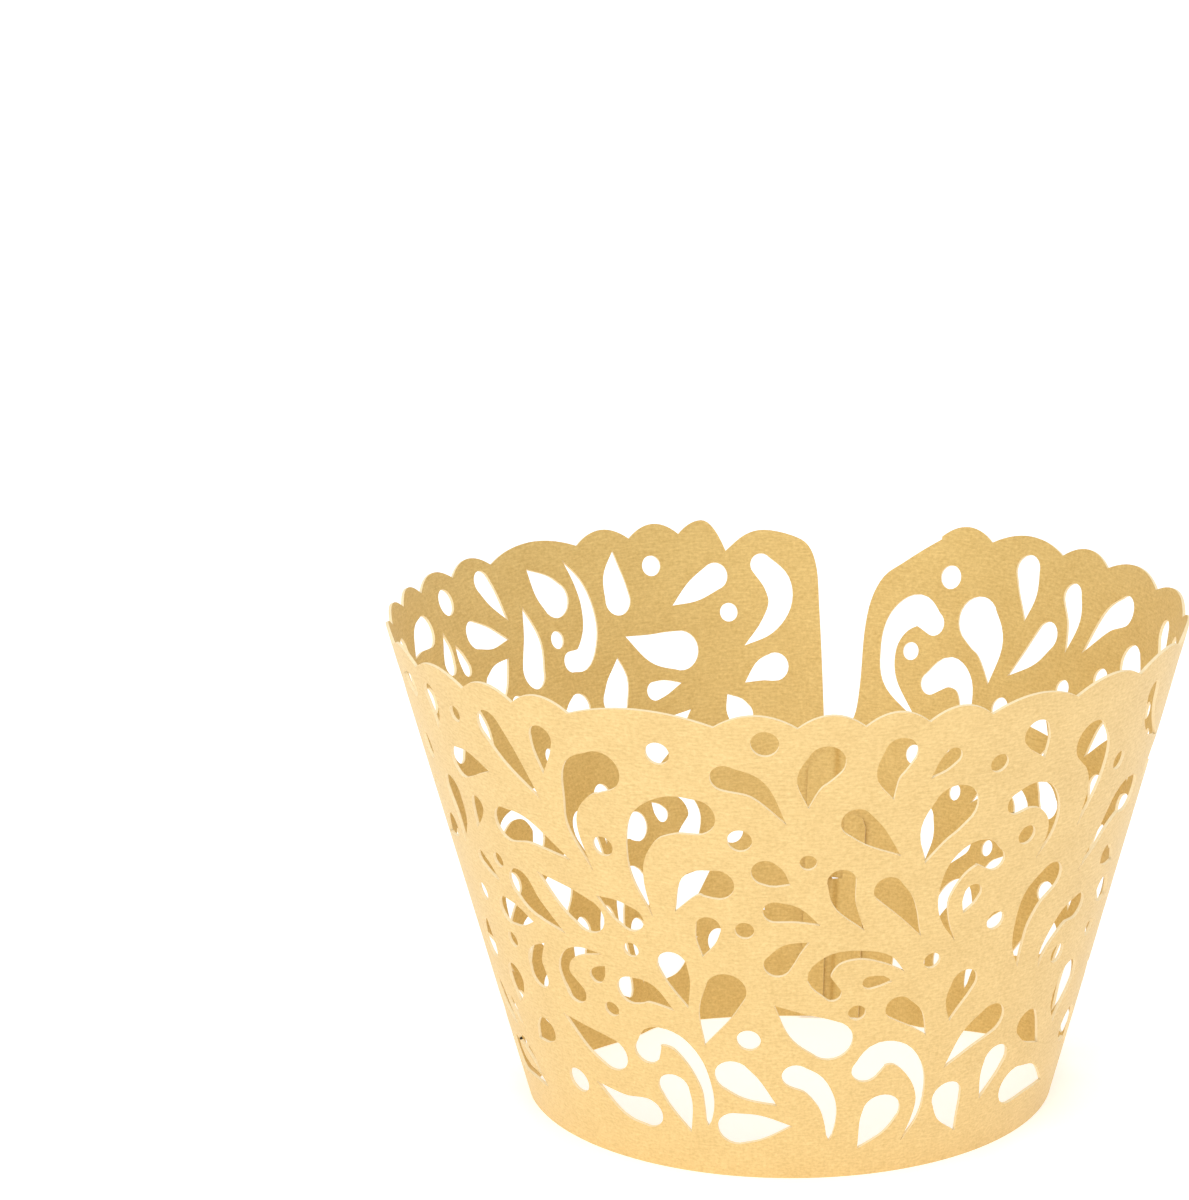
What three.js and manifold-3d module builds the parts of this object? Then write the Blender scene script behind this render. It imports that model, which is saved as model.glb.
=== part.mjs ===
// A pierced wrapper that stands around a cupcake. It is one blank of thin pearl card. A die cuts its
// scalloped rim and a lace of dots, teardrops and commas, then the blank is rolled into a cone and its
// two ends lock together at the back: each end has a tab that passes behind the other end.
import * as THREE from "three";
import { mergeVertices } from "three/addons/utils/BufferGeometryUtils.js";
import Module from "manifold-3d";

const wasm = await Module();
wasm.setup();

// The rolled wrapper, in millimetres
const TOP_DIAMETER = 80;
const BASE_DIAMETER = 54;
const HEIGHT = 49.8;
const CARD = 0.3;

// Plain card under the lowest hole and over the highest one, and the depth of a scallop
const BASE_BAND = 3.3;
const RIM_BAND = 1.5;
const SCALLOP_DEPTH = 1.3;
const DEEP_VALLEY = 3.4;

// The foot of the card stands pushed in at the back, fully between the two middle turns of this list
const FOOT_PUSH = 11;
const PUSH_TURNS = [100, 145, 225, 285];

// The join at the back, in degrees around from the middle of the front, and millimetres
const SEAM_TURN = 170;
const JOIN_HEIGHT = 29.5;
const LOCK_HEIGHT = 14;
const TAB_REACH = 3.4;
const LEFT_TAB_HEIGHT = 20.5;
const TAB_SLOPE = 4.3;
const TAB_CORNER = 1.2;
const SLIT = 0.3;
const JOGGLE = 0.6;
const TAB_CLEARANCE = 0.25;

// Fineness of the model
const FACETS = 40;
const HEAD_STEPS = 4;
const SIDE_STEP = 2.5;
const PUNCH_REACH = 4;
const FLATNESS = 0.008;

const TOP_RADIUS = TOP_DIAMETER / 2;
const BASE_RADIUS = BASE_DIAMETER / 2;
const FLARE = TOP_RADIUS - BASE_RADIUS;
const SLANT = Math.hypot(HEIGHT, FLARE);

// The lace is drawn on a blank of this size and stretched onto the real one. Across it is measured in
// degrees around the cone, with 0 at the middle of the front, and up it in millimetres along the card.
const DRAWN = { baseRadius: 27, topRadius: 40, slant: 51.5, lowest: 3.3, highest: 50 };

// Each motif is a list of points [turn, rise, half width] from its round head to the tip of its tail.
// A motif with a single point is a dot.
const dot = (turn, rise, diameter) => [[turn, rise, diameter / 2]];
const comma = (...points) => points;

// A teardrop keeps most of its width to the middle and comes to a point at its tail
const BELLY = 0.76;
function drop(radius, head, ...rest) {
  const tail = rest.at(-1);
  const middle = rest.length > 1 ? rest[0] : [(head[0] + tail[0]) / 2, (head[1] + tail[1]) / 2];
  return [[...head, radius], [...middle, radius * BELLY], [...tail, 0]];
}

// The front of the wrapper, upper half
const FRONT_HIGH = [
  dot(-53.4, 46.9, 1.7),
  dot(-17.4, 47.1, 2.3),
  dot(-2.8, 48.6, 2.6),
  dot(30.4, 44.8, 1.9),
  dot(-28, 36.3, 2.1),
  dot(-6.7, 38.3, 2.3),
  dot(3.1, 36, 1.6),
  dot(38, 36.2, 2),
  dot(57.1, 41.1, 2),
  dot(-72, 36.3, 1.6),
  dot(-52.3, 31.3, 1.6),
  drop(1.2, [-67.4, 47.5], [-71.5, 48.1]),
  drop(1.25, [-60.1, 47.8], [-59.9, 46.2], [-60.6, 44.1]),
  drop(1.65, [-45.4, 46.9], [-42.3, 43.9], [-37.9, 40.1]),
  drop(1.3, [-35.5, 47], [-35.9, 45.4], [-36.3, 43.1]),
  drop(1.35, [-8.4, 44.9], [-4, 43.8], [0, 40.1]),
  drop(1.75, [5.4, 46.6], [3.3, 44.6], [3, 41.8]),
  drop(1.6, [15.4, 47.2], [14, 44.9], [14.9, 42.3]),
  drop(0.9, [22.9, 46.3], [21.6, 45.3], [20, 44.2]),
  drop(1.45, [36, 47.2], [37.1, 46], [38.3, 44.4]),
  drop(1.3, [-69, 40.7], [-69.6, 42.1], [-69.3, 43.6]),
  drop(1.65, [-56, 41.3], [-52.6, 41.7], [-48.1, 41.6]),
  drop(1.5, [9.9, 40.1], [12.8, 38.4], [16.7, 36.2]),
  drop(2.35, [24.4, 40.8], [21.9, 38.4], [20.6, 35.1]),
  drop(1.75, [-62.2, 37.1], [-61.9, 34.6], [-63.8, 31.2]),
  drop(1, [-54.2, 37], [-55, 35.9], [-56.4, 34.1]),
  drop(1.85, [-47, 36.1], [-42.2, 36.1], [-34.4, 34]),
  drop(1.35, [-3.1, 34.9], [0.5, 33.6]),
  drop(1.35, [8.1, 33.8], [8.8, 31.3], [12, 28.3]),
  drop(1.4, [15.3, 32.6], [18.2, 30.5], [21.4, 27.1]),
  drop(1.6, [-10.4, 33.4], [-14.2, 33.2], [-17.4, 30.1]),
  drop(0.95, [29.6, 31], [28.4, 28.9]),
  drop(1.3, [-68, 32.3], [-71.5, 31.5], [-75, 30.2]),
  comma([-26.5, 44.5, 2.1], [-29.9, 43.4, 2], [-32.2, 40.5, 0.9], [-32.8, 37.6, 0.6], [-30.5, 33.3, 0]),
  comma([-12.9, 40.6, 1.9], [-16.6, 40.6, 2], [-20.4, 39.2, 1.7], [-22.5, 36.2, 1], [-22.8, 33.2, 0.6],
    [-21.2, 29.2, 0]),
  comma([47.6, 44.8, 2.1], [50.3, 42.7, 1.8], [51.1, 39.5, 0.9], [49.3, 35.4, 0]),
  comma([35, 40, 1.2], [37.7, 40.5, 1.35], [40.6, 39.8, 1.2], [42.8, 37.8, 0.8], [42.9, 35.6, 0.4],
    [40.9, 33.2, 0]),
  comma([63.7, 47, 1.3], [65, 44.6, 1.2], [68.4, 42.5, 0.8], [74.5, 40.6, 0]),
  comma([32.7, 34.2, 1.1], [29.6, 35.4, 1.4], [26.3, 34, 1.2], [24.6, 31, 0.65], [25.3, 28.5, 0.4],
    [27.6, 26, 0]),
  comma([65.6, 36.1, 1.9], [61.8, 36.1, 1.8], [58.3, 34, 0.9], [56, 32.1, 0.6], [53, 29.9, 0]),
];

// The front of the wrapper, lower half
const FRONT_LOW = [
  dot(-6.6, 28.5, 1.8),
  dot(35, 27.3, 2),
  dot(-26, 25.1, 1.6),
  dot(24, 24.1, 1.7),
  dot(11.7, 19.1, 1.7),
  dot(-6.8, 16.1, 2.3),
  dot(-44.7, 7.7, 2.7),
  dot(-32, 17.7, 1.6),
  dot(-54.9, 22, 1.7),
  dot(-62, 26.1, 2),
  dot(53.6, 20.7, 2.1),
  dot(65.3, 21.4, 1.9),
  drop(0.8, [-58, 30.6], [-53.6, 28.7]),
  drop(1.75, [-47.4, 29.4], [-45, 27.6], [-39, 25.3]),
  drop(1.95, [-33.4, 28.1], [-37.4, 29.6], [-42.4, 31.7]),
  drop(1.35, [-25.2, 28.6], [-30.8, 30.6]),
  drop(1.15, [-1.8, 30.6], [1.3, 30.3], [5.1, 29.1]),
  drop(1.2, [-12.3, 28.6], [-13.6, 25.3]),
  drop(1.1, [62.8, 29.9], [67.6, 28.4]),
  drop(1.5, [-53.6, 25.5], [-46.5, 25.4]),
  drop(1.4, [66, 25.6], [70.6, 24]),
  drop(1.3, [-1.6, 24.7], [0.5, 26.2], [3.5, 27.3]),
  drop(1.5, [-19, 24], [-18.1, 22], [-17, 19.3]),
  drop(1.6, [-67, 19.4], [-66.2, 21], [-64.9, 22.7]),
  drop(1.95, [-10.2, 21.6], [-12.7, 18.6], [-14.7, 15.2]),
  drop(0.75, [13.6, 22.4], [15.7, 22.5], [17.4, 22.3]),
  drop(0.8, [-34, 21.2], [-31.8, 22.6]),
  drop(1.45, [31, 20.9], [29.7, 19], [29.2, 16.7]),
  drop(1.55, [-27.2, 20.4], [-23.9, 20.4], [-19.6, 18.8]),
  drop(1.3, [19, 19.2], [22.1, 17.8], [24.9, 15.6]),
  drop(1.35, [-48.9, 19], [-48.6, 21.2], [-45, 23.3]),
  drop(2.25, [7.2, 16.1], [2.6, 17.6], [-2.3, 20.2]),
  drop(2.05, [60.5, 16.6], [59.4, 14.5], [59.7, 11.9]),
  drop(1.75, [38.5, 15.7], [34.4, 14.2], [29.6, 11.2]),
  drop(1.5, [-58.2, 17.2], [-59.3, 14.2]),
  drop(1.5, [49.3, 13.6], [51.6, 12.1], [55.3, 10.3]),
  drop(1.35, [-51.3, 12.4], [-55.3, 10.7]),
  drop(1.9, [-34.2, 12.3], [-38.4, 13.4], [-44.5, 15.5]),
  drop(0.8, [-65, 13.2], [-63.2, 12.4], [-61.4, 10.8]),
  drop(1.8, [-10, 11.8], [-6.6, 10.3], [-2.1, 8.6]),
  drop(1.55, [42.2, 10.7], [41.2, 8.9], [40, 6.3]),
  drop(1.6, [-21.7, 9.7], [-20.6, 7.6], [-19.2, 4.7]),
  drop(1.6, [-64.6, 7.7], [-59, 5.9]),
  drop(1.65, [31.5, 7.8], [32.6, 5.7], [35.1, 3.3]),
  drop(1.9, [17.8, 7.4], [16.2, 5.5], [13.6, 3.2]),
  drop(1.7, [-28.3, 6.2], [-33, 6.5], [-39.6, 8.4]),
  drop(1.85, [-10, 5.7], [-5, 6], [0.8, 6.2]),
  drop(2.1, [49.8, 6.4], [55.3, 6.1], [62.8, 4.6]),
  comma([45.5, 30.4, 1.7], [42.6, 28.8, 1.6], [41.2, 26, 1.05], [41.3, 23.6, 0.7], [42.4, 21.1, 0]),
  comma([56, 25.5, 1.4], [52.8, 25.1, 1.1], [49.9, 23.3, 0.75], [48.4, 21.6, 0.45], [48.3, 20, 0]),
  comma([7.4, 21.4, 0.85], [5.1, 23.3, 1.1], [7.5, 25.2, 0.75], [11.7, 25.6, 0.5], [16, 24.9, 0.5],
    [19.3, 23.3, 0]),
  comma([-39.6, 18.7, 1.3], [-41.3, 20.8, 0.75], [-39.7, 22.7, 0.55], [-36.3, 23.7, 0.45],
    [-31.7, 23.9, 0]),
  comma([1.4, 12, 1.35], [4.6, 11, 1.2], [7.1, 8.8, 0.9], [7.9, 6.7, 0.6], [7.8, 4.4, 0.2]),
  comma([14.1, 12.4, 1.4], [16.6, 14, 1.5], [20.4, 13.7, 1.2], [23.9, 11.4, 0.85], [25.4, 8.6, 0.45],
    [24.8, 6, 0.35], [22.5, 3.5, 0]),
  comma([-26.1, 13.5, 1.35], [-24.2, 15.4, 1.1], [-20.2, 15.2, 0.95], [-17, 13.1, 0.85],
    [-15.2, 10.2, 0.6], [-15, 8, 0.5], [-15.6, 5.7, 0.2]),
  comma([69.5, 9.8, 1.9], [72.6, 9.2, 1.5], [75.6, 7.4, 0.9], [78, 4.6, 0]),
];

// The right side and the back of the right end, upper half
const RIGHT_HIGH = [
  dot(84.6, 43.6, 2.2),
  dot(78.6, 34, 1.8),
  dot(94.4, 39.2, 1.8),
  dot(114.4, 38.9, 2.4),
  dot(123.2, 36.4, 2),
  dot(151.6, 45.7, 2.5),
  dot(157.6, 37.1, 1.9),
  dot(118.6, 34.6, 1.8),
  drop(1.5, [79, 47.2], [78, 44.8], [79.6, 42]),
  drop(1.35, [89.4, 46.6], [88.6, 43.8], [90, 40.8]),
  drop(1.5, [97.4, 46.8], [93.6, 43.2]),
  drop(2.1, [107, 41.8], [104.3, 40.2], [100.8, 38.4]),
  drop(1.65, [112.9, 46.6], [116.7, 45], [121, 40.9]),
  drop(1.35, [126.6, 46.2], [124.9, 43.8], [124.9, 40.3]),
  drop(1.55, [130, 41.3], [132.5, 39], [136.8, 36.4]),
  drop(1.6, [137.2, 47.8], [136.1, 45.2], [135.7, 42.5]),
  drop(2.6, [145.2, 41.3], [142.1, 38.9], [140.8, 35]),
  drop(1.7, [89.6, 36.4], [87.8, 34.3], [87, 31.2]),
  drop(1.5, [98.2, 34.6], [96, 33.2], [94.6, 31.4]),
  drop(1.3, [107.6, 35.2], [110.2, 33.6], [113, 30.8]),
  drop(1.45, [129.8, 33.2], [126.9, 32.4], [123.4, 31]),
  drop(1.2, [136.9, 32.4], [135.2, 30.6], [134.8, 28.3]),
  comma([75.2, 37.2, 1.4], [78.6, 38.3, 1.3], [81.8, 37, 0.9], [83.4, 34.8, 0.5], [83.6, 32.8, 0]),
  comma([153.2, 33.8, 1.2], [149.6, 35.2, 1.6], [146.2, 34.2, 1.2], [144.9, 31.6, 0.8],
    [145.6, 29, 0.5], [148, 26.6, 0]),
  comma([153.8, 40.4, 1.3], [156.9, 41.6, 1.7], [160.2, 40.2, 1.4], [161.8, 37.4, 0.95],
    [160.9, 33.8, 0.8], [155, 30, 0]),
];

// The left side and the back of the left end, upper half
const LEFT_HIGH = [
  dot(189.7, 41, 2),
  dot(202.6, 46.8, 2.2),
  dot(223.3, 40.3, 1.9),
  dot(247.7, 48, 2.8),
  dot(276.4, 45.6, 2.1),
  dot(268.4, 36.4, 1.7),
  dot(257.6, 40, 1.9),
  dot(233.4, 28.4, 1.8),
  dot(215.4, 28, 2),
  drop(1.45, [191.8, 45.1], [195.7, 43.6], [199.5, 42.3]),
  drop(1.5, [181.9, 34.8], [184.2, 34.4], [187.3, 33.2]),
  drop(1.4, [188.3, 29.6], [190.6, 31.8]),
  drop(2.1, [198.7, 37.1], [203.6, 37.6], [209, 39.2]),
  drop(1.6, [209.4, 43.4], [209.7, 46], [209.1, 48.7]),
  drop(1.7, [213, 32.4], [211.6, 34.7], [211.1, 36.9]),
  drop(1.95, [221.9, 44.7], [224, 46.4], [226.3, 48.4]),
  drop(1.8, [230.9, 37.6], [229.2, 40.6], [229.3, 44.4]),
  drop(1.3, [236.8, 48.5], [235.4, 46.5], [233.4, 44]),
  drop(1.5, [243.1, 43.6], [239, 42.7], [234.7, 42]),
  drop(1.7, [257.1, 46.4], [260.9, 46.2], [265.4, 44.9]),
  drop(1.15, [253.3, 42], [252.3, 43.5], [251.9, 45.3]),
  drop(0.9, [248.7, 40.8], [249.6, 43.5]),
  drop(1.7, [242.4, 37.4], [239.6, 38.6], [236.3, 39.9]),
  drop(1.5, [270.3, 46.6], [271.4, 44.6], [271, 42]),
  drop(1.35, [281.6, 46.4], [280.2, 44], [280.9, 41.2]),
  drop(1.65, [279, 37.4], [277.3, 35.3], [276.6, 32.2]),
  drop(1.4, [261.4, 34], [259, 35.1], [256.2, 36.9]),
  drop(1.5, [251.9, 36.2], [250.3, 34], [249.6, 31.2]),
  drop(1.6, [221.6, 32.4], [224.6, 31.6], [228.4, 31.8]),
  drop(1.4, [237.6, 34.4], [239.2, 32.6], [241.8, 30.9]),
  drop(1, [204.4, 32.9], [202, 33.2], [199, 33.5]),
  comma([184, 46.2, 1.2], [181.4, 44.2, 1.5], [181, 41.9, 1.3], [183.2, 39.6, 0.9], [187.2, 37.7, 0]),
  comma([221.2, 37.6, 1.1], [218.2, 37.8, 1.2], [215.9, 40.2, 1], [215.6, 43, 0.75], [216.6, 45.6, 0.5],
    [218.8, 48.2, 0]),
  comma([264.8, 40.2, 1.4], [268.3, 40.6, 1.2], [271.6, 38.6, 0.9], [273, 35.6, 0.5], [271.8, 32.6, 0]),
];

// Valleys of the scalloped rim, in degrees around, from the left end on to the right end
const RIM_VALLEYS = [
  189.8, 197.5, 206, 215.5, 233.5, 243.5, 254, 262.5, 273, 285, 297, 310.3, 320.5, 330, 350.5, 361.5,
  370.4, 379, 388, 402.3, 416.7, 433, 449, 465.5, 480.5, 491, 505, 514,
];
const SCALLOP_STEPS = 4;
const BLADE_OVERLAP = 0.3;

// Ends of the blank above the join, as [turn, rise] on the drawn blank. The left end is cut straight
// with a rounded corner, and the right end comes down from the last scallop in a long shoulder.
const LEFT_END = [[173, 29.5], [173.7, 36.8], [174.3, 42.3], [174.8, 46.2], [176.2, 48.6], [179, 49.7],
  [183.4, 50.3], [186.6, 49.8], [189.8, 48.2]];
const RIGHT_END = [[154, 50], [157, 48.7], [160.2, 47.2], [163.4, 45.6], [165.4, 43], [166.3, 39.5],
  [166.6, 34.5], [167.2, 31.2], [168.6, 29.5]];

function radiusAt(rise) {
  return BASE_RADIUS + (FLARE * rise) / SLANT;
}

function mean(values) {
  return values.reduce((sum, value) => sum + value, 0) / values.length;
}

// How far the card is pushed in from the round cone: most at its foot, and not at all at the rim
function pushAt(turn, rise) {
  const round = THREE.MathUtils.euclideanModulo(turn, 360);
  const [from, full, fading, to] = PUSH_TURNS;
  const begun = THREE.MathUtils.smoothstep(round, from, full);
  const ended = THREE.MathUtils.smoothstep(round, fading, to);
  return FOOT_PUSH * begun * (1 - ended) * (1 - rise / SLANT);
}

// Rolls a point of the flat blank onto the outer face of the wrapper
function roll(turn, rise) {
  const angle = THREE.MathUtils.degToRad(turn);
  const radius = radiusAt(rise);
  const push = pushAt(turn, rise);
  const x = radius * Math.sin(angle) - push * Math.sin(angle) ** 3;
  const y = (push - radius) * Math.cos(angle);
  return new THREE.Vector3(x, y, (HEIGHT * rise) / SLANT);
}

// The directions across the card, up it and out of it at a point of the blank
function directions(turn, rise) {
  const across = roll(turn + 1, rise).sub(roll(turn - 1, rise)).normalize();
  const slope = roll(turn, rise + 1).sub(roll(turn, rise - 1));
  const outward = across.clone().cross(slope).normalize();
  const up = outward.clone().cross(across);
  return { across, up, outward };
}

// The level step from the outer face to a depth inside the card
function inward(turn, rise, depth) {
  const { outward } = directions(turn, rise);
  const level = new THREE.Vector3(outward.x, outward.y, 0);
  return level.multiplyScalar(-depth / level.lengthSq());
}

// Rise on the real blank of a height on the drawn one: the lace fills what its two bands leave
function stretched(rise) {
  const share = (rise - DRAWN.lowest) / (DRAWN.highest - DRAWN.lowest);
  return BASE_BAND + share * (SLANT - RIM_BAND - BASE_BAND);
}

// Turn of a point that lies so many millimetres along the card from the join
function besideSeam(distance, rise) {
  return SEAM_TURN + THREE.MathUtils.radToDeg(distance / radiusAt(rise));
}

function solid(geometry) {
  geometry.deleteAttribute("normal");
  geometry.deleteAttribute("uv");
  const merged = mergeVertices(geometry, 1e-5);
  const mesh = new wasm.Mesh({
    numProp: 3,
    vertProperties: merged.attributes.position.array,
    triVerts: Uint32Array.from(merged.index.array),
  });
  return new wasm.Manifold(mesh);
}

// A die blade: an outline on the blank, in [turn, rise], pushed straight through the rolled card
function punch(outline) {
  const turn = mean(outline.map((point) => point[0]));
  const rise = mean(outline.map((point) => point[1]));
  const middle = roll(turn, rise);
  const { across, up, outward } = directions(turn, rise);
  const flat = outline.map(([pointTurn, pointRise]) => {
    const offset = roll(pointTurn, pointRise).sub(middle);
    return new THREE.Vector2(offset.dot(across), offset.dot(up));
  });
  const options = { depth: 2 * PUNCH_REACH, bevelEnabled: false };
  const geometry = new THREE.ExtrudeGeometry(new THREE.Shape(flat), options);
  geometry.translate(0, 0, -PUNCH_REACH);
  geometry.applyMatrix4(new THREE.Matrix4().makeBasis(across, up, outward).setPosition(middle));
  return solid(geometry);
}

// A band of card all round the wrapper, between two depths under its outer face. Both faces are split
// along the same diagonal, so that the card keeps its thickness where it twists.
function band(near, far) {
  const section = [[0, near], [SLANT, near], [SLANT, far], [0, far]];
  const sides = section.length;
  const innerFace = 2;
  const corners = [];
  const faces = [];
  for (let i = 0; i < FACETS; i += 1) {
    const turn = (360 * i) / FACETS;
    for (let j = 0; j < sides; j += 1) {
      const [rise, depth] = section[j];
      corners.push(...roll(turn, rise).add(inward(turn, rise, depth)));
      const here = sides * i + j;
      const above = sides * i + ((j + 1) % sides);
      const next = (here + sides) % (FACETS * sides);
      const nextAbove = (above + sides) % (FACETS * sides);
      if (j === innerFace) {
        faces.push(here, next, nextAbove, here, nextAbove, above);
      } else {
        faces.push(here, next, above, next, nextAbove, above);
      }
    }
  }
  const geometry = new THREE.BufferGeometry();
  geometry.setAttribute("position", new THREE.Float32BufferAttribute(corners, 3));
  geometry.setIndex(faces);
  return solid(geometry);
}

// Outline of one motif on the drawn blank: round its head, down one side of its spine and up the other
function motifOutline(motif) {
  const [headTurn, headRise] = motif[0];
  const drawnRadius = THREE.MathUtils.mapLinear(headRise, 0, DRAWN.slant, DRAWN.baseRadius, DRAWN.topRadius);
  const degree = THREE.MathUtils.degToRad(drawnRadius);
  const onBlank = (x, y) => [headTurn + x / degree, stretched(headRise + y)];
  if (motif.length === 1) {
    const radius = motif[0][2];
    const sides = radius > 0.9 ? 8 : 7;
    return Array.from({ length: sides }, (_, i) => {
      const angle = (2 * Math.PI * (i + 0.5)) / sides;
      return onBlank(radius * Math.cos(angle), radius * Math.sin(angle));
    });
  }
  const spine = new THREE.CatmullRomCurve3(
    motif.map(([turn, rise, half]) => new THREE.Vector3((turn - headTurn) * degree, rise - headRise, half)),
  );
  const start = spine.getTangent(0);
  const back = Math.atan2(-start.y, -start.x);
  const head = [];
  for (let i = 0; i <= HEAD_STEPS; i += 1) {
    const angle = back + Math.PI * (i / HEAD_STEPS - 0.5);
    head.push(onBlank(motif[0][2] * Math.cos(angle), motif[0][2] * Math.sin(angle)));
  }
  const left = [];
  const right = [];
  const steps = Math.max(2, Math.round(spine.getLength() / SIDE_STEP));
  for (let i = 1; i < steps; i += 1) {
    const point = spine.getPoint(i / steps);
    const along = spine.getTangent(i / steps);
    const across = new THREE.Vector2(-along.y, along.x).normalize().multiplyScalar(Math.max(point.z, 0.12));
    left.push(onBlank(point.x + across.x, point.y + across.y));
    right.push(onBlank(point.x - across.x, point.y - across.y));
  }
  const tip = spine.getPoint(1);
  return [...head, ...right, onBlank(tip.x, tip.y), ...left.reverse()];
}

// The same motifs a number of degrees further round, those whose heads lie in a window of the blank
function turned(motifs, degrees, from, to, top) {
  return motifs
    .filter(([[turn, rise]]) => turn > from && turn < to && rise < top)
    .map((motif) => motif.map(([turn, rise, half]) => [turn + degrees, rise, half]));
}

// The cut above one scallop, from valley to valley. The first valley, beside the left end, is deeper.
function scallopBlade(from, to) {
  const outline = [];
  for (let i = 0; i <= SCALLOP_STEPS; i += 1) {
    const share = i / SCALLOP_STEPS;
    const deep = from === RIM_VALLEYS[0] && share < 0.5;
    const fall = (deep ? DEEP_VALLEY : SCALLOP_DEPTH) * (2 * share - 1) ** 2;
    outline.push([from + (to - from) * share, SLANT - fall]);
  }
  outline.push([to + BLADE_OVERLAP, SLANT + SCALLOP_DEPTH], [from - BLADE_OVERLAP, SLANT + SCALLOP_DEPTH]);
  return punch(outline);
}

// The opening between the two ends above the join
function endBlade() {
  const top = SLANT + SCALLOP_DEPTH;
  const valley = SLANT - SCALLOP_DEPTH;
  const ends = [...RIGHT_END, ...LEFT_END];
  const lowest = LEFT_END[0][1];
  const highest = Math.max(...ends.map((point) => point[1]));
  const outline = ends.map(([turn, rise]) => {
    const share = (rise - lowest) / (highest - lowest);
    return [turn, JOIN_HEIGHT + share * (valley - JOIN_HEIGHT)];
  });
  outline.unshift([152, top], [152, SLANT], [152.8, (SLANT + valley) / 2]);
  outline.push([LEFT_END.at(-1)[0], top]);
  return punch(outline);
}

// A panel beside the join, from one distance along the card to another and from one rise to another
function panel(from, to, low, high) {
  return punch([
    [besideSeam(from, low), low],
    [besideSeam(to, low), low],
    [besideSeam(to, high), high],
    [besideSeam(from, high), high],
  ]);
}

// The tab of the right end, behind the left end, with its sloping top
function rightTab() {
  const low = 0;
  const high = JOIN_HEIGHT;
  return punch([
    [besideSeam(JOGGLE + SLIT, low), low],
    [besideSeam(TAB_REACH, low), low],
    [besideSeam(TAB_REACH, high - TAB_SLOPE), high - TAB_SLOPE],
    [besideSeam(-JOGGLE, high), high],
    [besideSeam(-JOGGLE, LOCK_HEIGHT + SLIT), LOCK_HEIGHT + SLIT],
    [besideSeam(JOGGLE + SLIT, LOCK_HEIGHT + SLIT), LOCK_HEIGHT + SLIT],
  ]);
}

// The tab of the left end, behind the right end, with a rounded top corner
function leftTab() {
  const inner = -(JOGGLE + SLIT);
  const corner = [];
  for (let i = 0; i <= 2; i += 1) {
    const angle = (Math.PI / 4) * i;
    const distance = -TAB_REACH + TAB_CORNER * (1 - Math.sin(angle));
    const rise = LEFT_TAB_HEIGHT - TAB_CORNER * (1 - Math.cos(angle));
    corner.push([besideSeam(distance, rise), rise]);
  }
  return punch([
    ...corner,
    [besideSeam(-TAB_REACH, 0), 0],
    [besideSeam(JOGGLE, 0), 0],
    [besideSeam(JOGGLE, LOCK_HEIGHT), LOCK_HEIGHT],
    [besideSeam(inner, LOCK_HEIGHT), LOCK_HEIGHT],
    [besideSeam(inner, LEFT_TAB_HEIGHT), LEFT_TAB_HEIGHT],
  ]);
}

// The card before the lace is cut: the rolled wall with its rim, its ends and the two locked tabs
function blank() {
  const inset = CARD + TAB_CLEARANCE;
  const blades = [endBlade()];
  for (let i = 1; i < RIM_VALLEYS.length; i += 1) {
    blades.push(scallopBlade(RIM_VALLEYS[i - 1], RIM_VALLEYS[i]));
  }
  const past = -SCALLOP_DEPTH;
  blades.push(panel(-SLIT, 0, past, LOCK_HEIGHT));
  blades.push(panel(0, SLIT, LOCK_HEIGHT, JOIN_HEIGHT + SCALLOP_DEPTH));
  blades.push(panel(-SLIT, SLIT, LOCK_HEIGHT, LOCK_HEIGHT + SLIT));
  const wall = wasm.Manifold.difference([band(0, CARD), ...blades]);
  const behind = band(inset, inset + CARD);
  const across = band(0, inset + CARD);
  return wasm.Manifold.union([
    wall,
    behind.intersect(rightTab()),
    behind.intersect(leftTab()),
    across.intersect(panel(0, JOGGLE, 0, LOCK_HEIGHT)),
    across.intersect(panel(-JOGGLE, 0, LOCK_HEIGHT + SLIT, JOIN_HEIGHT)),
  ]);
}

// The upper lace of the sides and the back sits a little higher where the card is pushed in
const PUSH_LIFT = 0.265;
function lifted(motifs) {
  return motifs.map((motif) => {
    const lift = PUSH_LIFT * pushAt(motif[0][0], motif[0][1]);
    return motif.map(([turn, rise, half]) => [turn, rise + lift, half]);
  });
}

// The lace all round. The lower half of the sides and the back repeats that of the front.
function lace() {
  return [
    ...FRONT_HIGH,
    ...FRONT_LOW,
    ...lifted(RIGHT_HIGH),
    ...lifted(LEFT_HIGH),
    ...turned(FRONT_LOW, 120, -44, 38, 31),
    ...turned(FRONT_LOW, 240, -52, 50, 28.4),
  ];
}

// Cuts the lace, and joins again the flat faces that the cuts have split
function wrapperGeometry() {
  const blades = lace().map((motif) => punch(motifOutline(motif)));
  const cut = wasm.Manifold.difference([blank(), ...blades]);
  const mesh = cut.asOriginal().simplify(FLATNESS).getMesh();
  const geometry = new THREE.BufferGeometry();
  geometry.setAttribute("position", new THREE.BufferAttribute(mesh.vertProperties, 3));
  geometry.setIndex(new THREE.BufferAttribute(mesh.triVerts, 1));
  geometry.computeVertexNormals();
  return geometry;
}

const card = new THREE.MeshStandardMaterial({ color: 0xd9a94e, roughness: 0.45, metalness: 0.35 });
const wrapper = new THREE.Mesh(wrapperGeometry(), card);
wrapper.name = "wrapper";

const part = new THREE.Group();
part.add(wrapper);

export default part;
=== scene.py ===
# %% [markdown]
# A cupcake wrapper. The real one is a strip of thin pearl card, about 0.3 mm thick. A die cuts a
# scalloped rim and a lace of dots and drops into it while it lies flat. Then the strip is rolled into a
# cone, and its two ends hook into each other at the back. This lesson makes it in the same order:
# draw the blank flat, cut the holes, give the card its thickness, and roll it up last.

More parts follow.
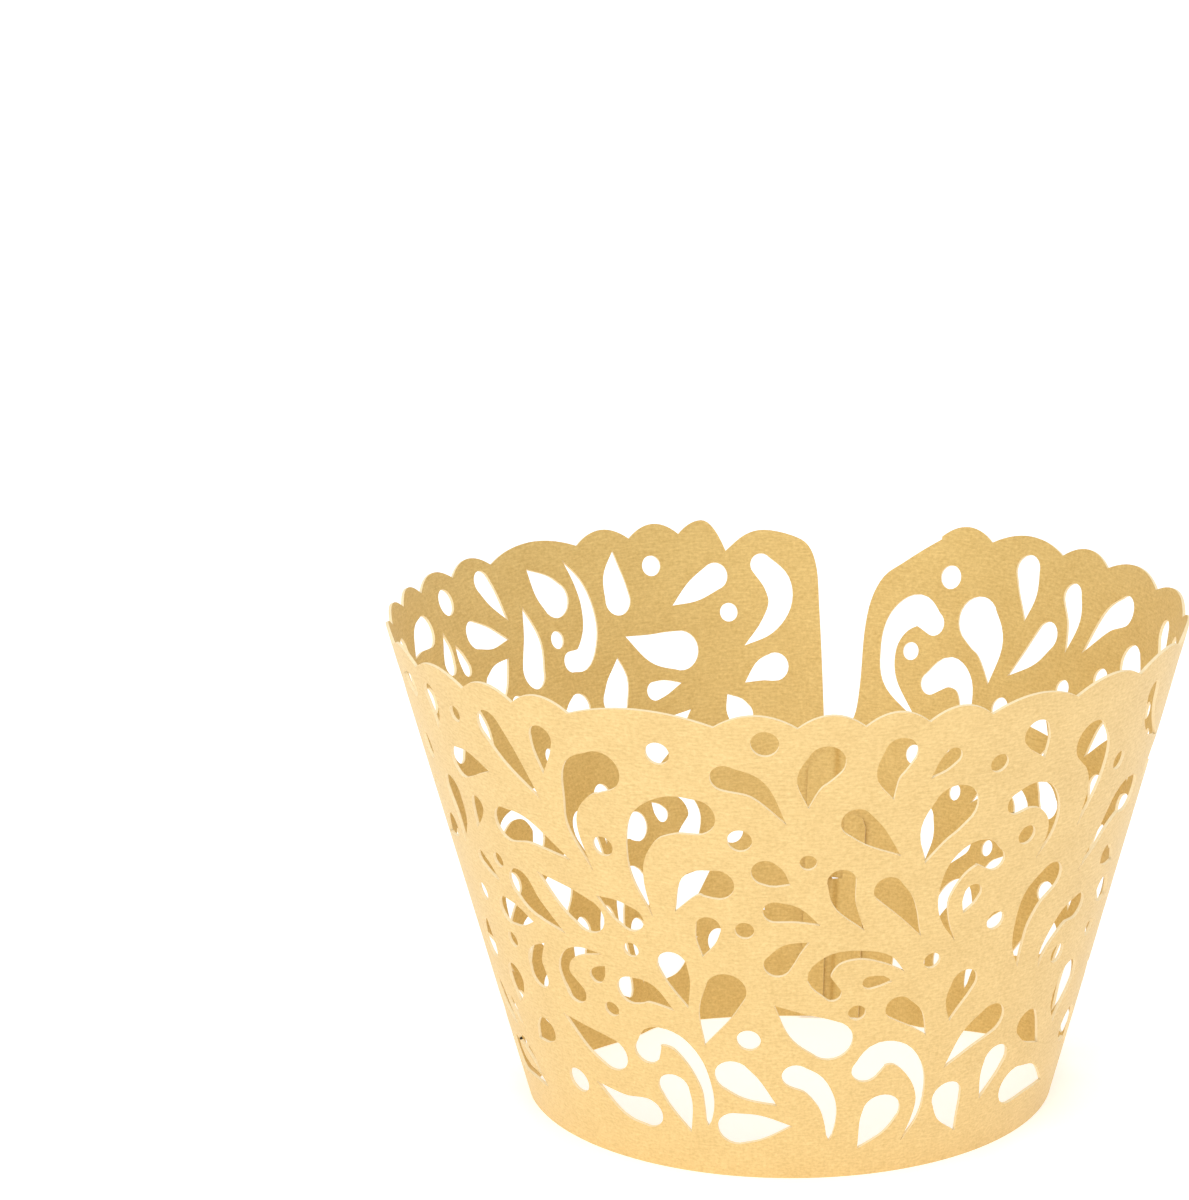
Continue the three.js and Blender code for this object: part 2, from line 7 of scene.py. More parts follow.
# %% Load the model that the wrapper is built around
import math

import bmesh
import bpy
from mathutils import Matrix, Vector


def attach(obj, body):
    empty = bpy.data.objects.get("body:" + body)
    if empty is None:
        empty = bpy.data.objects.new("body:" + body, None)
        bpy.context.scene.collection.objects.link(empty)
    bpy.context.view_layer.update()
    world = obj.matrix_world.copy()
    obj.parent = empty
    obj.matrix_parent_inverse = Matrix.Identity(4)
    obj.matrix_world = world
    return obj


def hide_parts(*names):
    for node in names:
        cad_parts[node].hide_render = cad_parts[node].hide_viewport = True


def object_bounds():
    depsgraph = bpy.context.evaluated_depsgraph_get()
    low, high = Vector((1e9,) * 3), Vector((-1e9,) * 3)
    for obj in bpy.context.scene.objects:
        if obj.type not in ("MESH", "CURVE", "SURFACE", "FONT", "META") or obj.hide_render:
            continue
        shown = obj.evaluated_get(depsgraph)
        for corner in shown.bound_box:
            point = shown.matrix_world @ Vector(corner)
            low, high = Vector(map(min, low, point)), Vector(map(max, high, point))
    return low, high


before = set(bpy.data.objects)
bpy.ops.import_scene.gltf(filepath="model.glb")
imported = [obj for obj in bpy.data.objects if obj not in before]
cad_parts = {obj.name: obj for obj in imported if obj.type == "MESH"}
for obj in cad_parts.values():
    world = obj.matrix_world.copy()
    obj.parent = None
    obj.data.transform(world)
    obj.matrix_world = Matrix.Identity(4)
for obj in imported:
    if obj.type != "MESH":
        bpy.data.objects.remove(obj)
CAD_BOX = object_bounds()
MM = 0.001
HEIGHT = CAD_BOX[1].z / MM
print("The wrapper is %.1f mm tall" % HEIGHT)

# %% [markdown]
# The blank is drawn in two measures that suit a cone. The turn says how far round the cone a point
# lies, in degrees, with 0 at the middle of the front and growing to the right. The rise says how far up
# the card it lies, in millimetres from the lower edge. A third measure, the depth, says how far
# inwards of the outer face it lies. Every size that the drawing needs is named here once, first those
# of the cone and its rim, then those of the pushed-in foot, then those of the join.

# %% Sizes of the blank, in millimetres and degrees
BASE_RADIUS = 27
TOP_RADIUS = 40
CARD = 0.3
SLANT = math.hypot(HEIGHT, TOP_RADIUS - BASE_RADIUS)
SCALLOP_DEPTH = 1.3
DEEP_VALLEY = 3.4
FOOT_PUSH = 11
PUSH_TURNS = (100, 145, 225, 285)
PUSH_LIFT = 0.265
WHOLE_TURN = 360
SEAM_TURN = 170
JOIN_HEIGHT = 29.5
LOCK_HEIGHT = 14
LOCK_GAP = 0.06
TAB_REACH = 3.4
LEFT_TAB_HEIGHT = 20.5
TAB_SLOPE = 4.3
TAB_CORNER = 1.2
SLIT = 0.35
JOGGLE = 0.9
TAB_DEPTH = 0.55
print("The card is %.1f mm long up its slope" % SLANT)

# %% [markdown]
# The lace has three kinds of hole. A dot is round. A teardrop has a round head and comes to a point,
# straight or slightly bent. A comma curls: its head is small or large and its tail sweeps round. Each is
# drawn as a spine, a short list of points with half the hole's width at each one, from the head to the
# tip of the tail. A spine is quick to draw, and the outline around it is worked out later.

# %% Three kinds of hole
BELLY = 0.76
print("Halfway down a teardrop is %d%% as wide as its head" % (100 * BELLY))


def dot(turn, rise, diameter):
    return [(turn, rise, diameter / 2)]


def comma(*points):
    return list(points)


def drop(radius, head, *rest):
    """A teardrop keeps most of its width to the middle and comes to a point at its tail."""
    tail = rest[-1]
    middle = rest[0]
    if len(rest) == 1:
        middle = ((head[0] + tail[0]) / 2, (head[1] + tail[1]) / 2)
    return [(*head, radius), (*middle, radius * BELLY), (*tail, 0)]


# %% [markdown]
# The front is the part that everyone sees, so each of its holes is placed one by one. It is split at half
# height, because the lower half is used again for the sides and the back.

# %% The lace of the front, upper half
FRONT_HIGH = [
    dot(-53.4, 46.9, 1.7),
    dot(-17.4, 47.1, 2.3),
    dot(-2.8, 48.6, 2.6),
    dot(30.4, 44.8, 1.9),
    dot(-28, 36.3, 2.1),
    dot(-6.7, 38.3, 2.3),
    dot(3.1, 36, 1.6),
    dot(38, 36.2, 2),
    dot(57.1, 41.1, 2),
    dot(-72, 36.3, 1.6),
    dot(-52.3, 31.3, 1.6),
    drop(1.2, (-67.4, 47.5), (-71.5, 48.1)),
    drop(1.25, (-60.1, 47.8), (-59.9, 46.2), (-60.6, 44.1)),
    drop(1.65, (-45.4, 46.9), (-42.3, 43.9), (-37.9, 40.1)),
    drop(1.3, (-35.5, 47), (-35.9, 45.4), (-36.3, 43.1)),
    drop(1.35, (-8.4, 44.9), (-4, 43.8), (0, 40.1)),
    drop(1.75, (5.4, 46.6), (3.3, 44.6), (3, 41.8)),
    drop(1.6, (15.4, 47.2), (14, 44.9), (14.9, 42.3)),
    drop(0.9, (22.9, 46.3), (21.6, 45.3), (20, 44.2)),
    drop(1.45, (36, 47.2), (37.1, 46), (38.3, 44.4)),
    drop(1.3, (-69, 40.7), (-69.6, 42.1), (-69.3, 43.6)),
    drop(1.65, (-56, 41.3), (-52.6, 41.7), (-48.1, 41.6)),
    drop(1.5, (9.9, 40.1), (12.8, 38.4), (16.7, 36.2)),
    drop(2.35, (24.4, 40.8), (21.9, 38.4), (20.6, 35.1)),
    drop(1.75, (-62.2, 37.1), (-61.9, 34.6), (-63.8, 31.2)),
    drop(1, (-54.2, 37), (-55, 35.9), (-56.4, 34.1)),
    drop(1.85, (-47, 36.1), (-42.2, 36.1), (-34.4, 34)),
    drop(1.35, (-3.1, 34.9), (0.5, 33.6)),
    drop(1.35, (8.1, 33.8), (8.8, 31.3), (12, 28.3)),
    drop(1.4, (15.3, 32.6), (18.2, 30.5), (21.4, 27.1)),
    drop(1.6, (-10.4, 33.4), (-14.2, 33.2), (-17.4, 30.1)),
    drop(0.95, (29.6, 31), (28.4, 28.9)),
    drop(1.3, (-68, 32.3), (-71.5, 31.5), (-75, 30.2)),
    comma((-26.5, 44.5, 2.1), (-29.9, 43.4, 2), (-32.2, 40.5, 0.9), (-32.8, 37.6, 0.6), (-30.5, 33.3, 0)),
    comma((-12.9, 40.6, 1.9), (-16.6, 40.6, 2), (-20.4, 39.2, 1.7), (-22.5, 36.2, 1), (-22.8, 33.2, 0.6),
          (-21.2, 29.2, 0)),
    comma((47.6, 44.8, 2.1), (50.3, 42.7, 1.8), (51.1, 39.5, 0.9), (49.3, 35.4, 0)),
    comma((35, 40, 1.2), (37.7, 40.5, 1.35), (40.6, 39.8, 1.2), (42.8, 37.8, 0.8), (42.9, 35.6, 0.4),
          (40.9, 33.2, 0)),
    comma((63.7, 47, 1.3), (65, 44.6, 1.2), (68.4, 42.5, 0.8), (74.5, 40.6, 0)),
    comma((32.7, 34.2, 1.1), (29.6, 35.4, 1.4), (26.3, 34, 1.2), (24.6, 31, 0.65), (25.3, 28.5, 0.4),
          (27.6, 26, 0)),
    comma((65.6, 36.1, 1.9), (61.8, 36.1, 1.8), (58.3, 34, 0.9), (56, 32.1, 0.6), (53, 29.9, 0)),
]
print("The upper half of the front has", len(FRONT_HIGH), "holes")

# %% The lace of the front, lower half
FRONT_LOW = [
    dot(-6.6, 28.5, 1.8),
    dot(35, 27.3, 2),
    dot(-26, 25.1, 1.6),
    dot(24, 24.1, 1.7),
    dot(11.7, 19.1, 1.7),
    dot(-6.8, 16.1, 2.3),
    dot(-44.7, 7.7, 2.7),
    dot(-32, 17.7, 1.6),
    dot(-54.9, 22, 1.7),
    dot(-62, 26.1, 2),
    dot(53.6, 20.7, 2.1),
    dot(65.3, 21.4, 1.9),
    drop(0.8, (-58, 30.6), (-53.6, 28.7)),
    drop(1.75, (-47.4, 29.4), (-45, 27.6), (-39, 25.3)),
    drop(1.95, (-33.4, 28.1), (-37.4, 29.6), (-42.4, 31.7)),
    drop(1.35, (-25.2, 28.6), (-30.8, 30.6)),
    drop(1.15, (-1.8, 30.6), (1.3, 30.3), (5.1, 29.1)),
    drop(1.2, (-12.3, 28.6), (-13.6, 25.3)),
    drop(1.1, (62.8, 29.9), (67.6, 28.4)),
    drop(1.5, (-53.6, 25.5), (-46.5, 25.4)),
    drop(1.4, (66, 25.6), (70.6, 24)),
    drop(1.3, (-1.6, 24.7), (0.5, 26.2), (3.5, 27.3)),
    drop(1.5, (-19, 24), (-18.1, 22), (-17, 19.3)),
    drop(1.6, (-67, 19.4), (-66.2, 21), (-64.9, 22.7)),
    drop(1.95, (-10.2, 21.6), (-12.7, 18.6), (-14.7, 15.2)),
    drop(0.75, (13.6, 22.4), (15.7, 22.5), (17.4, 22.3)),
    drop(0.8, (-34, 21.2), (-31.8, 22.6)),
    drop(1.45, (31, 20.9), (29.7, 19), (29.2, 16.7)),
    drop(1.55, (-27.2, 20.4), (-23.9, 20.4), (-19.6, 18.8)),
    drop(1.3, (19, 19.2), (22.1, 17.8), (24.9, 15.6)),
    drop(1.35, (-48.9, 19), (-48.6, 21.2), (-45, 23.3)),
    drop(2.25, (7.2, 16.1), (2.6, 17.6), (-2.3, 20.2)),
    drop(2.05, (60.5, 16.6), (59.4, 14.5), (59.7, 11.9)),
    drop(1.75, (38.5, 15.7), (34.4, 14.2), (29.6, 11.2)),
    drop(1.5, (-58.2, 17.2), (-59.3, 14.2)),
    drop(1.5, (49.3, 13.6), (51.6, 12.1), (55.3, 10.3)),
    drop(1.35, (-51.3, 12.4), (-55.3, 10.7)),
    drop(1.9, (-34.2, 12.3), (-38.4, 13.4), (-44.5, 15.5)),
    drop(0.8, (-65, 13.2), (-63.2, 12.4), (-61.4, 10.8)),
    drop(1.8, (-10, 11.8), (-6.6, 10.3), (-2.1, 8.6)),
    drop(1.55, (42.2, 10.7), (41.2, 8.9), (40, 6.3)),
    drop(1.6, (-21.7, 9.7), (-20.6, 7.6), (-19.2, 4.7)),
    drop(1.6, (-64.6, 7.7), (-59, 5.9)),
    drop(1.65, (31.5, 7.8), (32.6, 5.7), (35.1, 3.3)),
    drop(1.9, (17.8, 7.4), (16.2, 5.5), (13.6, 3.2)),
    drop(1.7, (-28.3, 6.2), (-33, 6.5), (-39.6, 8.4)),
    drop(1.85, (-10, 5.7), (-5, 6), (0.8, 6.2)),
    drop(2.1, (49.8, 6.4), (55.3, 6.1), (62.8, 4.6)),
    comma((45.5, 30.4, 1.7), (42.6, 28.8, 1.6), (41.2, 26, 1.05), (41.3, 23.6, 0.7), (42.4, 21.1, 0)),
    comma((56, 25.5, 1.4), (52.8, 25.1, 1.1), (49.9, 23.3, 0.75), (48.4, 21.6, 0.45), (48.3, 20, 0)),
    comma((7.4, 21.4, 0.85), (5.1, 23.3, 1.1), (7.5, 25.2, 0.75), (11.7, 25.6, 0.5), (16, 24.9, 0.5),
          (19.3, 23.3, 0)),
    comma((-39.6, 18.7, 1.3), (-41.3, 20.8, 0.75), (-39.7, 22.7, 0.55), (-36.3, 23.7, 0.45),
          (-31.7, 23.9, 0)),
    comma((1.4, 12, 1.35), (4.6, 11, 1.2), (7.1, 8.8, 0.9), (7.9, 6.7, 0.6), (7.8, 4.4, 0.2)),
    comma((14.1, 12.4, 1.4), (16.6, 14, 1.5), (20.4, 13.7, 1.2), (23.9, 11.4, 0.85), (25.4, 8.6, 0.45),
          (24.8, 6, 0.35), (22.5, 3.5, 0)),
    comma((-26.1, 13.5, 1.35), (-24.2, 15.4, 1.1), (-20.2, 15.2, 0.95), (-17, 13.1, 0.85),
          (-15.2, 10.2, 0.6), (-15, 8, 0.5), (-15.6, 5.7, 0.2)),
    comma((69.5, 9.8, 1.9), (72.6, 9.2, 1.5), (75.6, 7.4, 0.9), (78, 4.6, 0)),
]
print("The whole front has", len(FRONT_HIGH) + len(FRONT_LOW), "holes")

# %% [markdown]
# The upper halves of the two sides run on to the ends at the back, where they show over the front rim.

# %% The lace of the right side, upper half
RIGHT_HIGH = [
    dot(84.6, 43.6, 2.2),
    dot(78.6, 34, 1.8),
    dot(94.4, 39.2, 1.8),
    dot(114.4, 38.9, 2.4),
    dot(123.2, 36.4, 2),
    dot(151.6, 45.7, 2.5),
    dot(157.6, 37.1, 1.9),
    dot(118.6, 34.6, 1.8),
    drop(1.5, (79, 47.2), (78, 44.8), (79.6, 42)),
    drop(1.35, (89.4, 46.6), (88.6, 43.8), (90, 40.8)),
    drop(1.5, (97.4, 46.8), (93.6, 43.2)),
    drop(2.1, (107, 41.8), (104.3, 40.2), (100.8, 38.4)),
    drop(1.65, (112.9, 46.6), (116.7, 45), (121, 40.9)),
    drop(1.35, (126.6, 46.2), (124.9, 43.8), (124.9, 40.3)),
    drop(1.55, (130, 41.3), (132.5, 39), (136.8, 36.4)),
    drop(1.6, (137.2, 47.8), (136.1, 45.2), (135.7, 42.5)),
    drop(2.6, (145.2, 41.3), (142.1, 38.9), (140.8, 35)),
    drop(1.7, (89.6, 36.4), (87.8, 34.3), (87, 31.2)),
    drop(1.5, (98.2, 34.6), (96, 33.2), (94.6, 31.4)),
    drop(1.3, (107.6, 35.2), (110.2, 33.6), (113, 30.8)),
    drop(1.45, (129.8, 33.2), (126.9, 32.4), (123.4, 31)),
    drop(1.2, (136.9, 32.4), (135.2, 30.6), (134.8, 28.3)),
    comma((75.2, 37.2, 1.4), (78.6, 38.3, 1.3), (81.8, 37, 0.9), (83.4, 34.8, 0.5), (83.6, 32.8, 0)),
    comma((153.2, 33.8, 1.2), (149.6, 35.2, 1.6), (146.2, 34.2, 1.2), (144.9, 31.6, 0.8),
          (145.6, 29, 0.5), (148, 26.6, 0)),
    comma((153.8, 40.4, 1.3), (156.9, 41.6, 1.7), (160.2, 40.2, 1.4), (161.8, 37.4, 0.95),
          (160.9, 33.8, 0.8), (155, 30, 0)),
]
print("The upper half of the right side has", len(RIGHT_HIGH), "holes")

# %% The lace of the left side, upper half
LEFT_HIGH = [
    dot(189.7, 41, 2),
    dot(202.6, 46.8, 2.2),
    dot(223.3, 40.3, 1.9),
    dot(247.7, 48, 2.8),
    dot(276.4, 45.6, 2.1),
    dot(268.4, 36.4, 1.7),
    dot(257.6, 40, 1.9),
    dot(233.4, 28.4, 1.8),
    dot(215.4, 28, 2),
    drop(1.45, (191.8, 45.1), (195.7, 43.6), (199.5, 42.3)),
    drop(1.5, (181.9, 34.8), (184.2, 34.4), (187.3, 33.2)),
    drop(1.4, (188.3, 29.6), (190.6, 31.8)),
    drop(2.1, (198.7, 37.1), (203.6, 37.6), (209, 39.2)),
    drop(1.6, (209.4, 43.4), (209.7, 46), (209.1, 48.7)),
    drop(1.7, (213, 32.4), (211.6, 34.7), (211.1, 36.9)),
    drop(1.95, (221.9, 44.7), (224, 46.4), (226.3, 48.4)),
    drop(1.8, (230.9, 37.6), (229.2, 40.6), (229.3, 44.4)),
    drop(1.3, (236.8, 48.5), (235.4, 46.5), (233.4, 44)),
    drop(1.5, (243.1, 43.6), (239, 42.7), (234.7, 42)),
    drop(1.7, (257.1, 46.4), (260.9, 46.2), (265.4, 44.9)),
    drop(1.15, (253.3, 42), (252.3, 43.5), (251.9, 45.3)),
    drop(0.9, (248.7, 40.8), (249.6, 43.5)),
    drop(1.7, (242.4, 37.4), (239.6, 38.6), (236.3, 39.9)),
    drop(1.5, (270.3, 46.6), (271.4, 44.6), (271, 42)),
    drop(1.35, (281.6, 46.4), (280.2, 44), (280.9, 41.2)),
    drop(1.65, (279, 37.4), (277.3, 35.3), (276.6, 32.2)),
    drop(1.4, (261.4, 34), (259, 35.1), (256.2, 36.9)),
    drop(1.5, (251.9, 36.2), (250.3, 34), (249.6, 31.2)),
    drop(1.6, (221.6, 32.4), (224.6, 31.6), (228.4, 31.8)),
    drop(1.4, (237.6, 34.4), (239.2, 32.6), (241.8, 30.9)),
    drop(1, (204.4, 32.9), (202, 33.2), (199, 33.5)),
    comma((184, 46.2, 1.2), (181.4, 44.2, 1.5), (181, 41.9, 1.3), (183.2, 39.6, 0.9), (187.2, 37.7, 0)),
    comma((221.2, 37.6, 1.1), (218.2, 37.8, 1.2), (215.9, 40.2, 1), (215.6, 43, 0.75), (216.6, 45.6, 0.5),
          (218.8, 48.2, 0)),
    comma((264.8, 40.2, 1.4), (268.3, 40.6, 1.2), (271.6, 38.6, 0.9), (273, 35.6, 0.5), (271.8, 32.6, 0)),
]
print("The upper half of the left side has", len(LEFT_HIGH), "holes")

# %% [markdown]
# The foot of the real wrapper isn't round. Where the ends hook together at the back, the soft card is
# drawn in, and the foot has the shape of a D. A push does this: it is greatest at the foot, fades up to
# the rim, and grows and ends softly round the back. The holes there are read as if the cone were
# round, so they move up a little with the push to stay where the eye sees them.

# %% The push at the back


def soft_step(share):
    share = min(max(share, 0), 1)
    return share * share * (3 - 2 * share)


def push_at(turn, rise):
    """How far the card is pushed in from the round cone, in millimetres."""
    first, full, fading, last = PUSH_TURNS
    begun = soft_step((turn % WHOLE_TURN - first) / (full - first))
    ended = soft_step((turn % WHOLE_TURN - fading) / (last - fading))
    return FOOT_PUSH * begun * (1 - ended) * (1 - rise / SLANT)


def lifted(holes):
    """The same holes, a little higher where the card is pushed in."""
    lifts = [PUSH_LIFT * push_at(hole[0][0], hole[0][1]) for hole in holes]
    return [[(turn, rise + lift, half) for turn, rise, half in hole] for hole, lift in zip(holes, lifts)]


print("At the middle of the back the foot is pushed in by %.1f mm" % push_at(WHOLE_TURN / 2, 0))

# %% [markdown]
# The lower half of the sides and of the back repeats the lower half of the front, turned a third and
# two thirds of the way round. A window keeps each copy off the join and off the holes above it. The
# whole left side is then counted backwards from the front, so that the blank is one strip.

# %% Repeat the lower lace round the cone


def turned(holes, degrees, first, last, top):
    """The same holes further round, those whose heads lie between two turns and under a rise."""
    kept = [hole for hole in holes if first < hole[0][0] < last and hole[0][1] < top]
    return [[(turn + degrees, rise, half) for turn, rise, half in hole] for hole in kept]


def counted_back(points):
    """The same points, with their turns counted backwards from the front."""
    return [(point[0] - WHOLE_TURN, *point[1:]) for point in points]


RIGHT_LOW = turned(FRONT_LOW, 120, -44, 38, 31)
LEFT_LOW = turned(FRONT_LOW, 240, -52, 50, 28.4)
LEFT_SIDE = [counted_back(hole) for hole in lifted(LEFT_HIGH) + LEFT_LOW]
LACE = FRONT_HIGH + FRONT_LOW + lifted(RIGHT_HIGH) + RIGHT_LOW + LEFT_SIDE
print("The whole lace has", len(LACE), "holes")

# %% [markdown]
# A spine becomes an outline in two steps. First a smooth curve is run through its points, position and
# half width together. Then the outline goes round the head as a half circle, down one side of the curve
# and back up the other. Millimetres up the card and degrees around it don't mix, so this is done in a
# small flat map around the head, where both are millimetres.

# %% Outline of one hole
HEAD_STEPS = 12
DOT_SIDES = 28
SIDE_STEP = 0.55
LEAST_STEPS = 4
LEAST_HALF = 0.1
NUDGE = 0.01


def radius_at(rise):
    return BASE_RADIUS + (TOP_RADIUS - BASE_RADIUS) * rise / SLANT


def smooth_point(points, place):
    """A point of the smooth curve through the points, at a place from 0 to their number less one."""
    span = min(int(place), len(points) - 2)
    nearest = [points[min(max(i, 0), len(points) - 1)] for i in range(span - 1, span + 3)]
    before, here, there, after = nearest
    if span == 0:
        before = here * 2 - there
    if span == len(points) - 2:
        after = there * 2 - here
    s = place - span
    bend = here * 2 + (there - before) * s
    bend += (before * 2 - here * 5 + there * 4 - after) * s * s
    bend += (here * 3 - before - there * 3 + after) * s * s * s
    return bend / 2


def hole_outline(spine):
    """The outline of a hole as a list of (turn, rise)."""
    head_turn, head_rise, head_half = spine[0]
    degree = math.radians(radius_at(head_rise))

    def on_blank(x, y):
        return head_turn + x / degree, head_rise + y

    if len(spine) == 1:
        ring = [2 * math.pi * i / DOT_SIDES for i in range(DOT_SIDES)]
        return [on_blank(head_half * math.cos(a), head_half * math.sin(a)) for a in ring]
    points = [Vector(((turn - head_turn) * degree, rise - head_rise, half)) for turn, rise, half in spine]
    last = len(points) - 1
    length = sum((points[i + 1] - points[i]).length for i in range(last))
    steps = max(LEAST_STEPS, round(length / SIDE_STEP))
    start = smooth_point(points, NUDGE) - points[0]
    back = math.atan2(-start.y, -start.x)
    head = []
    for i in range(HEAD_STEPS + 1):
        angle = back + math.pi * (i / HEAD_STEPS - 0.5)
        head.append(on_blank(head_half * math.cos(angle), head_half * math.sin(angle)))
    left, right = [], []
    for i in range(1, steps):
        place = last * i / steps
        point = smooth_point(points, place)
        along = smooth_point(points, place + NUDGE) - smooth_point(points, place - NUDGE)
        across = Vector((-along.y, along.x)).normalized() * max(point.z, LEAST_HALF)
        left.append(on_blank(point.x + across.x, point.y + across.y))
        right.append(on_blank(point.x - across.x, point.y - across.y))
    tip = on_blank(points[-1].x, points[-1].y)
    return head + right + [tip] + left[::-1]


HOLES = [hole_outline(spine) for spine in LACE]
print("Their outlines have", sum(len(hole) for hole in HOLES), "points")

# %% [markdown]
# The blank's own outline starts at the lower left and goes round: along the lower edge, up the right
# end with its slit and its tab, along the scallops of the rim, and down the left end. The tabs are the
# strips beside the slits that will slip behind the other end. A scallop is a low arch between two
# valleys, and the valley beside the left end is deeper than the others.

# %% Outline of the blank
RIM_VALLEYS = [
    189.8, 197.5, 206, 215.5, 233.5, 243.5, 254, 262.5, 273, 285, 297, 310.3, 320.5, 330, 350.5, 361.5,
    370.4, 379, 388, 402.3, 416.7, 433, 449, 465.5, 480.5, 491, 505, 514,
]
LEFT_END = [(173, 29.5), (173.7, 36.8), (174.3, 42.3), (174.8, 46.2), (176.2, 48.6), (179, 49.7),
            (183.4, 50.3), (186.6, 49.8), (189.8, 48.2)]
RIGHT_END = [(154, 50), (157, 48.7), (160.2, 47.2), (163.4, 45.6), (165.4, 43), (166.3, 39.5),
             (166.6, 34.5), (167.2, 31.2), (168.6, 29.5)]
SCALLOP_STEPS = 14
END_STEPS = 4
CORNER_SHARE = 0.3


def beside_seam(distance, rise):
    """The turn of a point that lies so many millimetres along the card from the join."""
    return SEAM_TURN + math.degrees(distance / radius_at(rise))


def smooth_line(points, steps):
    """A smooth line through given points."""
    vectors = [Vector((turn, rise, 0)) for turn, rise in points]
    line = [smooth_point(vectors, i / steps) for i in range((len(points) - 1) * steps + 1)]
    return [(point.x, point.y) for point in line]


def stretched_end(points):
    """An end as drawn, stretched so that the highest point of the two reaches the scallops."""
    highest = max(rise for turn, rise in LEFT_END)
    share = (SLANT - SCALLOP_DEPTH - JOIN_HEIGHT) / (highest - JOIN_HEIGHT)
    return [(turn, JOIN_HEIGHT + (rise - JOIN_HEIGHT) * share) for turn, rise in points]


def blank_outline():
    outline = []
    right_edge = [
        (-SLIT, 0), (-SLIT, LOCK_HEIGHT + LOCK_GAP), (JOGGLE, LOCK_HEIGHT + LOCK_GAP), (JOGGLE, 0),
        (TAB_REACH, 0), (TAB_REACH, JOIN_HEIGHT - TAB_SLOPE),
    ]
    outline += [(beside_seam(distance, rise), rise) for distance, rise in right_edge]
    outline += smooth_line(stretched_end(RIGHT_END), END_STEPS)[::-1]
    for low, high in zip(RIM_VALLEYS[-2::-1], RIM_VALLEYS[:0:-1]):
        for i in range(SCALLOP_STEPS):
            share = i / SCALLOP_STEPS
            deep = low == RIM_VALLEYS[0] and share > 0.5
            fall = (DEEP_VALLEY if deep else SCALLOP_DEPTH) * (2 * share - 1) ** 2
            outline.append((high + (low - high) * share - WHOLE_TURN, SLANT - fall))
    outline += counted_back(smooth_line(stretched_end(LEFT_END), END_STEPS)[::-1])
    bite = TAB_CORNER * CORNER_SHARE
    left_edge = [
        (SLIT, JOIN_HEIGHT), (SLIT, LOCK_HEIGHT - LOCK_GAP), (-JOGGLE, LOCK_HEIGHT - LOCK_GAP),
        (-JOGGLE, LEFT_TAB_HEIGHT), (-TAB_REACH + TAB_CORNER, LEFT_TAB_HEIGHT),
        (-TAB_REACH + bite, LEFT_TAB_HEIGHT - bite),
        (-TAB_REACH, LEFT_TAB_HEIGHT - TAB_CORNER), (-TAB_REACH, 0),
    ]
    outline += counted_back([(beside_seam(distance, rise), rise) for distance, rise in left_edge])
    return outline


BLANK = blank_outline()
print("The blank's own outline has", len(BLANK), "points")

# %% [markdown]
# All the outlines go into one flat mesh as rings of edges. The triangle fill operator then makes the
# sheet: it fills inside the outer ring and leaves the inner rings open. A printed area tells at once
# if a hole was filled by mistake. Straight cuts across the sheet follow, one for each small step round
# the cone, because card can only bend where it has a row of points to bend along.

# %% Fill the flat blank
MAP_RADIUS = 33.5


def flat(turn, rise):
    return Vector((math.radians(turn) * MAP_RADIUS, rise, 0))


def add_ring(bm, outline):
    verts = [bm.verts.new(flat(turn, rise)) for turn, rise in outline]
    for i, vert in enumerate(verts):
        bm.edges.new((vert, verts[i - 1]))


def ring_area(outline):
    points = [flat(turn, rise) for turn, rise in outline]
    return abs(sum(a.x * b.y - b.x * a.y for a, b in zip(points, points[1:] + points[:1]))) / 2


def span(first, last, step):
    return [first + step * i for i in range(round((last - first) / step) + 1)]


card = bmesh.new()
add_ring(card, BLANK)
for hole in HOLES:
    add_ring(card, hole)
bmesh.ops.triangle_fill(card, use_beauty=True, edges=card.edges[:], normal=(0, 0, 1))
drawn_area = ring_area(BLANK) - sum(ring_area(hole) for hole in HOLES)
filled_area = sum(face.calc_area() for face in card.faces)
print("Card in the drawing %.0f mm2, in the mesh %.0f mm2" % (drawn_area, filled_area))

# %% Cut the sheet across, so that it can bend
BEND_STEP = 2
FINE_BEND = 0.4
FINE_INSIDE = 2
FINE_OUTSIDE = 2.4
LEFT_SPARE = 10
RIGHT_SPARE = 8
NEXT_SEAM = SEAM_TURN - WHOLE_TURN
WELD = 1e-5
bends = span(NEXT_SEAM - LEFT_SPARE, SEAM_TURN + RIGHT_SPARE, BEND_STEP)
bends += span(NEXT_SEAM - FINE_OUTSIDE, NEXT_SEAM + FINE_INSIDE, FINE_BEND)
bends += span(SEAM_TURN - FINE_INSIDE, SEAM_TURN + FINE_OUTSIDE, FINE_BEND)
for turn in bends:
    everything = card.verts[:] + card.edges[:] + card.faces[:]
    bmesh.ops.bisect_plane(card, geom=everything, dist=WELD, plane_co=flat(turn, 0), plane_no=(1, 0, 0))
print("The flat sheet has", len(card.faces), "faces")

# %% [markdown]
# Pearl card is paper with a gold coat on both sides, and a cut shows its pale core. So the sheet gets
# its thickness as real geometry, and its faces three materials: the outer face, the inner face and the
# cut edge. Each point also keeps its place on the flat blank as a UV map, in tenths of a metre, so that
# the grain of the paper follows the card round the cone. Faces that lie flat now are the two broad
# ones, and faces that stand are the cut.

